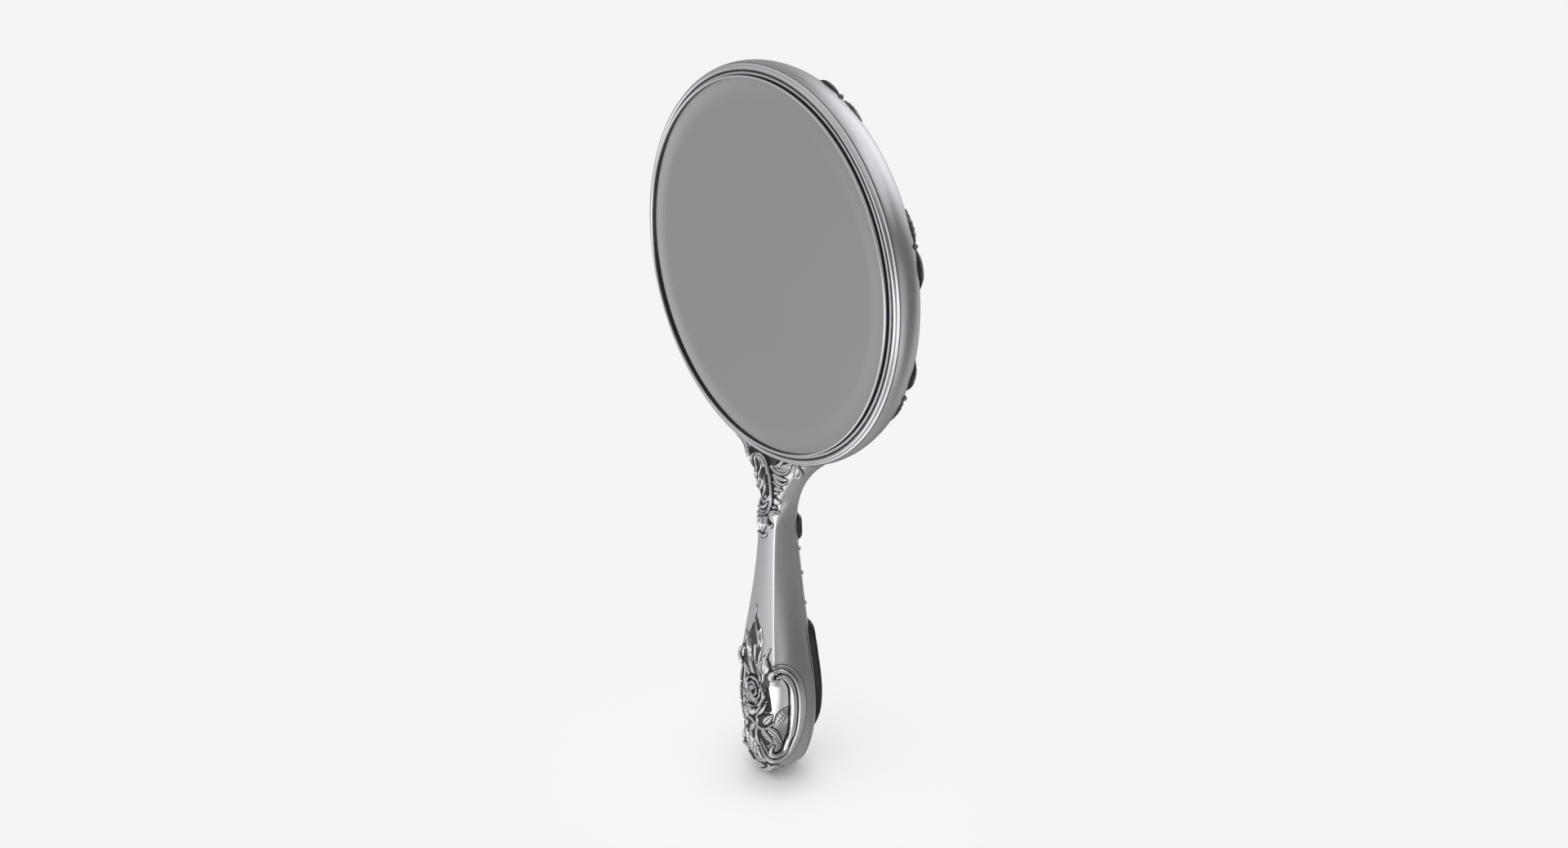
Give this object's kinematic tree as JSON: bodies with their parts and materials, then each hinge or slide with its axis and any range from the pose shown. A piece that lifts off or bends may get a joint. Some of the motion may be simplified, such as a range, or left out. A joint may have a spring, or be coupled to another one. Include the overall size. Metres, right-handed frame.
{
  "type": "hand mirror",
  "caption": "Round hand mirror with bevelled glass in a beaded metal rim, a domed ornamented back and a slender tapering handle with scroll, leaf and rose relief.",
  "frame": {"origin": "centre of the front face of the mirror glass", "axes": "+Z towards the crown of the head with the handle pointing to -Z, -Y out of the glass towards the person looking in, +X to that person's right"},
  "size_m": [0.135, 0.0253, 0.2571],
  "materials": {
    "mirror_glass": "silvered plate glass, polished, ground bevel at the edge",
    "silver_bright": "polished antique silver with fine handling scratches",
    "silver_satin": "satin antique silver, softly worn",
    "silver_relief": "cast silver relief, polished highlights and dark oxidised recesses",
    "felt": "wool felt, matte",
    "board": "grey-brown strawboard, matte",
    "packing_wood": "turned beech, unfinished",
    "tang_steel": "bare mild steel, slightly dull",
    "fastener_brass": "plain brass",
    "pitch": "hard pitch and plaster filler, dull"
  },
  "bodies": {
    "root": {"mirror_glass": "mirror_glass", "glass_bezel": "silver_bright", "rim_moulding": "silver_bright", "head_shell": "silver_satin", "felt_pad": "felt", "backing_board": "board", "wood_packing": "packing_wood", "tang_rod": "tang_steel", "tang_plate": "tang_steel", "tang_rivets": "fastener_brass", "tang_screws": "fastener_brass", "handle_core": "pitch", "handle_front_shell": "silver_satin", "handle_back_shell": "silver_satin", "neck_scroll_front": "silver_relief", "neck_leaves_front": "silver_relief", "neck_husks_front": "silver_relief", "grip_buds_front": "silver_relief", "rose_front": "silver_relief", "rose_foliage": "silver_relief", "tip_bud": "silver_relief", "side_scroll_right": "silver_relief", "side_scroll_left": "silver_relief", "handle_back_scrolls": "silver_relief", "handle_back_rose": "silver_relief", "handle_back_vine": "silver_relief", "neck_acanthus_back": "silver_relief", "head_back_scrolls": "silver_relief", "head_back_leaves": "silver_relief", "head_back_roses": "silver_relief", "back_medallion": "silver_relief"}
  },
  "joints": []
}
